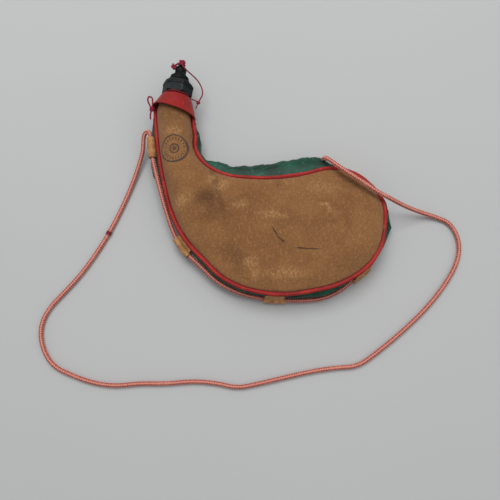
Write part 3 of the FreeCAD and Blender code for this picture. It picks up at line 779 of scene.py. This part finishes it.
def front_suede():
    """The crowned suede panel: it follows the solid, with slack, creases and a puckered edge."""
    thing, rows = sheet_grid("front_panel_suede", 96, 170)
    count = len(rows) - 1
    for i, row in enumerate(rows):
        v = toward_tip(i, count)
        left, right = chord(v, SUEDE_INSET)
        if v > 0.995:
            left = right = (left + right) / 2
        for k, vertex in enumerate(row):
            u = k / (len(row) - 1)
            u = 0.55 * (1 - math.cos(math.pi * u)) / 2 + 0.45 * u
            at = left.lerp(right, u)
            hit = FRONT.ray_cast(Vector((at.x, at.y, 0.09)), Vector((0, 0, -1)), 0.0595)[0]
            z = hit.z if hit else SEAM_Z + 0.0007
            edge = min(u, 1 - u) * (right - left).length
            room = eased(0.0, 0.012, edge) * eased(0.0, 0.10, 1 - v)
            swell = noise.noise(Vector((at.x, at.y, 0.3)) * 26) * 0.0011
            swell += noise.noise(Vector((at.x, at.y, 0.7)) * 75) * 0.00035
            far = seam_distance(v, u)
            pucker = math.sin(far / 0.0062 + 2.2 * noise.noise(Vector((far * 40, 0, 0))))
            pucker *= 0.00028 * eased(0.0, 0.003, edge) * (1 - eased(0.003, 0.014, edge))
            vertex.co = (at.x, at.y, z + room * (swell - pressed(at.x, at.y)) + pucker)
    finish_sheet(thing, SUEDE_WALL, SUEDE, "front_panel", True)


def seam_distance(v, u):
    return TIP_AT * v if u < 0.5 else seam.length - (seam.length - TIP_AT) * v


def finish_sheet(thing, wall, finish, node, up):
    """Joins the grid's last row at the tip, turns it outwards and gives it its wall."""
    pick(thing)
    bpy.ops.object.mode_set(mode="EDIT")
    bpy.ops.mesh.select_all(action="SELECT")
    bpy.ops.mesh.remove_doubles(threshold=0.00002)
    bpy.ops.object.mode_set(mode="OBJECT")
    if (sum(p.normal.z * p.area for p in thing.data.polygons) > 0) != up:
        bpy.ops.object.mode_set(mode="EDIT")
        bpy.ops.mesh.flip_normals()
        bpy.ops.object.mode_set(mode="OBJECT")
    apply(thing, "SOLIDIFY", thickness=wall, offset=-1.0)
    dress(thing, finish)
    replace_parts(thing, node)


def out_of(tree, start, direction):
    """Where a ray from inside leaves the solid's outer face."""
    at = start
    for _ in range(6):
        hit, normal, _, _ = tree.ray_cast(at, direction)
        if hit is None:
            return None
        if normal.dot(direction) > 0:
            return hit
        at = hit + direction * 0.00002
    return None


def back_vinyl():
    """The green back: it follows the solid, slack and gathered into folds under the seam."""
    thing, rows = sheet_grid("back_shell_vinyl", 120, 190)
    count, end_at = len(rows) - 1, 0.976
    tip, away = seam_at(TIP_AT)
    tip = Vector((tip.x, tip.y, VINYL_TOP)) - away * VINYL_INSET
    for i, row in enumerate(rows):
        v = toward_tip(i, count)
        if v > end_at:
            share = (v - end_at) / (1 - end_at)
            for vertex, at in zip(row, before):
                swell = (0.0010 + 0.0010 * (1 - eased(0.0, 0.014, at.z))) * math.sin(math.pi * share)
                vertex.co = clear_of_cords(at.lerp(tip, share) + away * swell)
            continue
        left, right = chord(v, VINYL_INSET)
        across, middle = (right - left).normalized(), (left + right) / 2
        origin = Vector((middle.x, middle.y, SEAM_Z - 0.014))
        rise = math.atan2(0.0132, (right - left).length / 2)
        for k, vertex in enumerate(row):
            u = k / (len(row) - 1)
            s = 0.35 * u + 0.325 * (1 - math.cos(math.pi * u))
            angle = math.pi - rise + s * (math.pi + 2 * rise)
            out = across * math.cos(angle) + Vector((0, 0, math.sin(angle)))
            hit = out_of(BACK, origin, out) if 0 < k < len(row) - 1 else None
            if hit is None:
                end = left if u < 0.5 else right
                hit = Vector((end.x, end.y, VINYL_TOP))
            vertex.co = clear_of_cords(hit + out * gathered(u, v, hit.z) + slack_side(u, v, hit))
        before = [vertex.co.copy() for vertex in row]
    finish_sheet(thing, VINYL_WALL, GREEN, "back_shell", False)


# how far past the seam the slack vinyl reaches at least: distance along the seam, reach
SWOLLEN = [(0.015, 0.0), (0.030, 0.0045), (0.042, 0.0060), (0.056, 0.0072), (0.070, 0.0098), (0.085, 0.0122),
           (0.098, 0.0112), (0.112, 0.0075), (0.130, 0.0030), (0.160, 0.0024), (0.193, 0.0030), (0.226, 0.0040),
           (0.282, 0.0034), (0.322, 0.0022), (0.354, 0.0048), (0.380, 0.0072), (0.402, 0.0044), (0.433, 0.0),
           (0.456, 0.0), (0.474, 0.0030), (0.490, 0.0038), (0.504, 0.0046), (0.522, 0.0052), (0.542, 0.0040),
           (0.562, 0.0)]
# the same beside the neck's right, and how far the inner curve is puffed out from the solid,
# both by the distance back along the seam from the neck's right
BESIDE_NECK = [(0.024, 0.0), (0.036, 0.0034), (0.050, 0.0048), (0.066, 0.0046), (0.084, 0.0054), (0.096, 0.0)]
LOOSE = [(0.066, 0.0), (0.078, 0.0050), (0.088, 0.0096), (0.100, 0.0120), (0.112, 0.0132), (0.131, 0.0134),
         (0.148, 0.0143), (0.168, 0.0158), (0.189, 0.0167), (0.209, 0.0160), (0.221, 0.0142), (0.231, 0.0130),
         (0.240, 0.0116), (0.250, 0.0086), (0.260, 0.0040), (0.268, 0.0)]


def eased_along(table, place):
    """The value of a table of (place, value) there, eased from row to row."""
    for (a, low), (b, high) in zip(table, table[1:]):
        if a <= place < b:
            return low + (high - low) * eased(a, b, place)
    return 0.0


def slack_side(u, v, hit):
    """How far the slack vinyl under the piping is filled out, and puffed out on the inner curve."""
    far = seam_distance(v, u)
    at, away = seam_at(far)
    back = seam.length - far
    reach = eased_along(SWOLLEN, far)
    if u > 0.5:
        reach = max(reach, eased_along(BESIDE_NECK, back))
    reach = max(0.0, reach - (hit - at).dot(away))
    if u > 0.5:
        reach = max(reach, eased_along(LOOSE, back) * (1 + 0.16 * noise.noise(Vector((far * 60, 2.0, 0)))))
    return away * reach * eased(VINYL_TOP, SEAM_Z - 0.0050, hit.z) * eased(0.0005, 0.008, hit.z)


def clear_of_cords(place):
    """A place on the vinyl, pressed in where a cord lies against it."""
    near, number, gap = CORDS.find(place)
    return near + (place - near) * (CORD_ROOM / gap) if gap < CORD_ROOM else place


CORD_ROOM = CORD_D / 2 + 0.0005
CORDS = KDTree(len(strap_points) + len(rim_points))
for number, point in enumerate(strap_points + rim_points):
    CORDS.insert(point, number)
CORDS.balance()


def gathered(u, v, z):
    """How far the vinyl stands out in its folds, which run down from the seam."""
    far, fall = seam_distance(v, u), SEAM_Z - z
    room = eased(0.0006, 0.006, fall) * eased(0.0, 0.004, z) * eased(0.0, 0.06, 1 - v) * eased(0.02, 0.07, v)
    deep = 1.0 if u > 0.5 and v < 0.9 else 0.6
    fold = noise.noise(Vector((far * 75, z * 22, 3.0 if u > 0.5 else 9.0)))
    fold += 0.5 * noise.noise(Vector((far * 170, z * 50, 5.0)))
    slack = noise.noise(Vector((far * 22, z * 40, 1.0)))
    return ((abs(fold) - 0.22) * 0.0030 * deep + slack * 0.0008) * room


SUEDE = suede_finish()
GREEN = vinyl_finish("green_vinyl", rgb(18, 72, 54), rgb(56, 116, 94), rgb(9, 42, 31), 0.44, 0.0011)
RED = vinyl_finish("red_piping_vinyl", rgb(158, 32, 26), rgb(186, 66, 56), rgb(122, 20, 17), 0.48, 0.0007)
front_suede()
back_vinyl()


UNDER_COLLAR = 0.1398


def bead_ends():
    """Where the bead goes in under the collar, on the left and on the right."""
    found = [seam.length * i / 4000 for i in range(4001) if seam.spot(seam.length * i / 4000).y < UNDER_COLLAR]
    return found[0], found[-1]


def piping():
    """Red bead on the seam, with the flat edge that shows as a groove beside the suede."""
    first, last = bead_ends()
    count = 620
    profile = [(BEAD_R * math.cos(a), BEAD_R * math.sin(a)) for a in
               [math.radians(d) for d in (-150, -120, -90, -60, -30, 0, 30, 60, 90, 120, 148)]]
    profile += [(-0.0024, 0.0010), (-0.0044, 0.0008), (-0.0044, -0.0008)]
    vertices, faces, lay, runs = [], [], [], []
    for i in range(count + 1):
        far = first + (last - first) * i / count
        at, away = seam_at(far)
        size = 1 + 0.05 * noise.noise(Vector((far * 60, 0, 0)))
        sway = 0.00025 * noise.noise(Vector((far * 30, 5, 0)))
        runs.append(far)
        for x, z in profile:
            place = at + away * (x * size + sway)
            vertices.append(Vector((place.x, place.y, SEAM_Z + z * size)))
    n = len(profile)
    for i in range(count):
        for k in range(n):
            a, b = i * n + k, i * n + (k + 1) % n
            faces.append((a, a + n, b + n, b))
            u, w = k / n, (k + 1) / n
            lay += [(u, runs[i]), (u, runs[i + 1]), (w, runs[i + 1]), (w, runs[i])]
    faces += [tuple(range(n)), tuple(range(count * n, count * n + n))[::-1]]
    lay += [(0, 0)] * (2 * n)
    thing = piece("front_piping_bead", vertices, faces, RED, lay=lay, smooth=60)
    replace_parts(thing, "front_piping")


def stitches():
    """The thread of the seam, in the groove beside the bead."""
    first, last = bead_ends()
    yarn = Yarn()
    far = first + 0.004
    while far < last - 0.006:
        points = []
        for i in range(5):
            at, away = seam_at(far + 0.0028 * i / 4)
            at = at - away * 0.0027
            points.append(Vector((at.x, at.y, SEAM_Z + 0.0010 + 0.0003 * math.sin(math.pi * i / 4))))
        yarn.strand(points, [Vector((0, 0, 1))] * 5, 0.00036, 0.0003, 6, 0.9, [0.5] * 5)
        far += 0.0037
    yarn.made("seam_stitches", STRING, "red_piping")


piping()
stitches()


def collar():
    """The flared skirt over the neck: a rolled lower edge that leans and waves, and a turned-in top."""
    profile = [(0.0254, 0.1402), (0.0262, 0.1391), (0.0270, 0.1390), (0.0275, 0.1397), (0.0271, 0.1409),
               (0.0262, 0.1421), (0.0248, 0.1448), (0.0233, 0.1478), (0.0219, 0.1508), (0.0206, 0.1537),
               (0.0196, 0.1557), (0.0189, 0.1566), (0.0181, 0.1569), (0.0153, 0.1569), (0.0153, 0.1558),
               (0.0176, 0.1557), (0.0184, 0.1549), (0.0194, 0.1531), (0.0208, 0.1502), (0.0222, 0.1472),
               (0.0237, 0.1442), (0.0250, 0.1416)]
    vertices, faces, lay = [], [], []
    around, n = 144, len(profile)
    for i in range(around):
        a = 2 * math.pi * i / around
        for r, y in profile:
            low = 1 - eased(0.139, 0.1545, y)
            r += low * (0.0007 * math.sin(2 * a + 0.8) + 0.0004 * math.sin(5 * a + 2.0))
            y += low * (0.0006 * math.sin(3 * a + 1.0) - 0.0034 - 0.0044 * math.cos(a)) - 0.0024
            vertices.append(NECK + Vector((r * math.cos(a), y, r * math.sin(a))))
    for i in range(around):
        for k in range(n):
            a, b = i * n + k, i * n + (k + 1) % n
            c, d = (a + n) % (around * n), (b + n) % (around * n)
            faces.append((a, b, d, c))
            u, w = i / around, (i + 1) / around
            lay += [(u, k / n), (u, (k + 1) / n), (w, (k + 1) / n), (w, k / n)]
    thing = piece("neck_collar_skirt", vertices, faces, COLLAR_RED, lay=lay, smooth=50)
    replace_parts(thing, "neck_collar")


COLLAR_RED = vinyl_finish("red_collar_vinyl", rgb(142, 25, 22), rgb(166, 50, 44), rgb(124, 20, 19),
                          0.44, 0.0009)
collar()


def loops():
    """The leather loops, their edges worn round."""
    leather = leather_finish()
    for number in range(len(LOOPS)):
        node = "cord_loop_%d" % (number + 1)
        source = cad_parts[node]
        thing = source.copy()
        thing.data = source.data.copy()
        thing.parent = None
        thing.matrix_world = Matrix.Identity(4)
        for key in list(thing.keys()):
            del thing[key]
        thing.name = node + "_leather"
        bpy.context.collection.objects.link(thing)
        pick(thing)
        bpy.ops.object.mode_set(mode="EDIT")
        bpy.ops.mesh.select_all(action="SELECT")
        bpy.ops.mesh.remove_doubles(threshold=0.00001)
        bpy.ops.object.mode_set(mode="OBJECT")
        apply(thing, "REMESH", mode="VOXEL", voxel_size=0.00055)
        apply(thing, "SMOOTH", factor=0.5, iterations=4)
        thing.data.update()
        for vertex in thing.data.vertices:
            vertex.co += vertex.normal * noise.noise(vertex.co * 240) * 0.00022
        dress(thing, leather, "bag", 60)
        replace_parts(thing, node)


loops()


def carried_over():
    """The rigid pieces keep their shape and get their finish."""
    black = moulded_finish("black_nozzle_plastic", rgb(13, 15, 16), 0.5)
    band = moulded_finish("dark_green_socket_plastic", rgb(24, 29, 29), 0.48)
    cap = moulded_finish("black_stopper_plastic", rgb(12, 13, 14), 0.48)
    seal = rubber_finish("white_gasket_rubber", rgb(196, 192, 182))
    bladder = rubber_finish("clear_bladder_rubber", rgb(168, 150, 116), 0.5)
    for node, finish in (("nozzle", black), ("neck_socket", band), ("tip_stopper", cap),
                         ("nozzle_gasket", seal), ("liner", bladder)):
        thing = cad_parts[node]
        thing.data.materials.clear()
        thing.data.materials.append(finish)


carried_over()


# Floor and light


def studio():
    bpy.ops.mesh.primitive_plane_add(size=8, location=(0, 0, 0))
    floor = bpy.context.object
    floor.name = "floor"
    f = Finish("pale_floor", 0.9)
    tone = f.clouds(f.place(), 0.5, 2)
    floor.data.materials.append(f.wear(Base_Color=f.mix(tone, rgb(169, 170, 170), rgb(174, 175, 175))))
    world = bpy.context.scene.world or bpy.data.worlds.new("studio")
    bpy.context.scene.world = world
    world.use_nodes = True
    back = world.node_tree.nodes["Background"]
    back.inputs["Color"].default_value = (1.0, 1.0, 1.0, 1.0)
    back.inputs["Strength"].default_value = 0.5
    for name, place, size, power in (("key_light", (-0.45, 1.0, 2.1), 1.5, 42),
                                     ("fill_light", (1.4, 0.3, 1.8), 1.8, 8)):
        bpy.ops.object.light_add(type="AREA", location=place)
        lamp = bpy.context.object
        lamp.name = name
        lamp.data.size = size
        lamp.data.energy = power
        lamp.rotation_euler = (-Vector(place)).to_track_quat("-Z", "Y").to_euler()
    bpy.context.scene.view_settings.view_transform = "Standard"


studio()
bpy.ops.object.select_all(action="DESELECT")
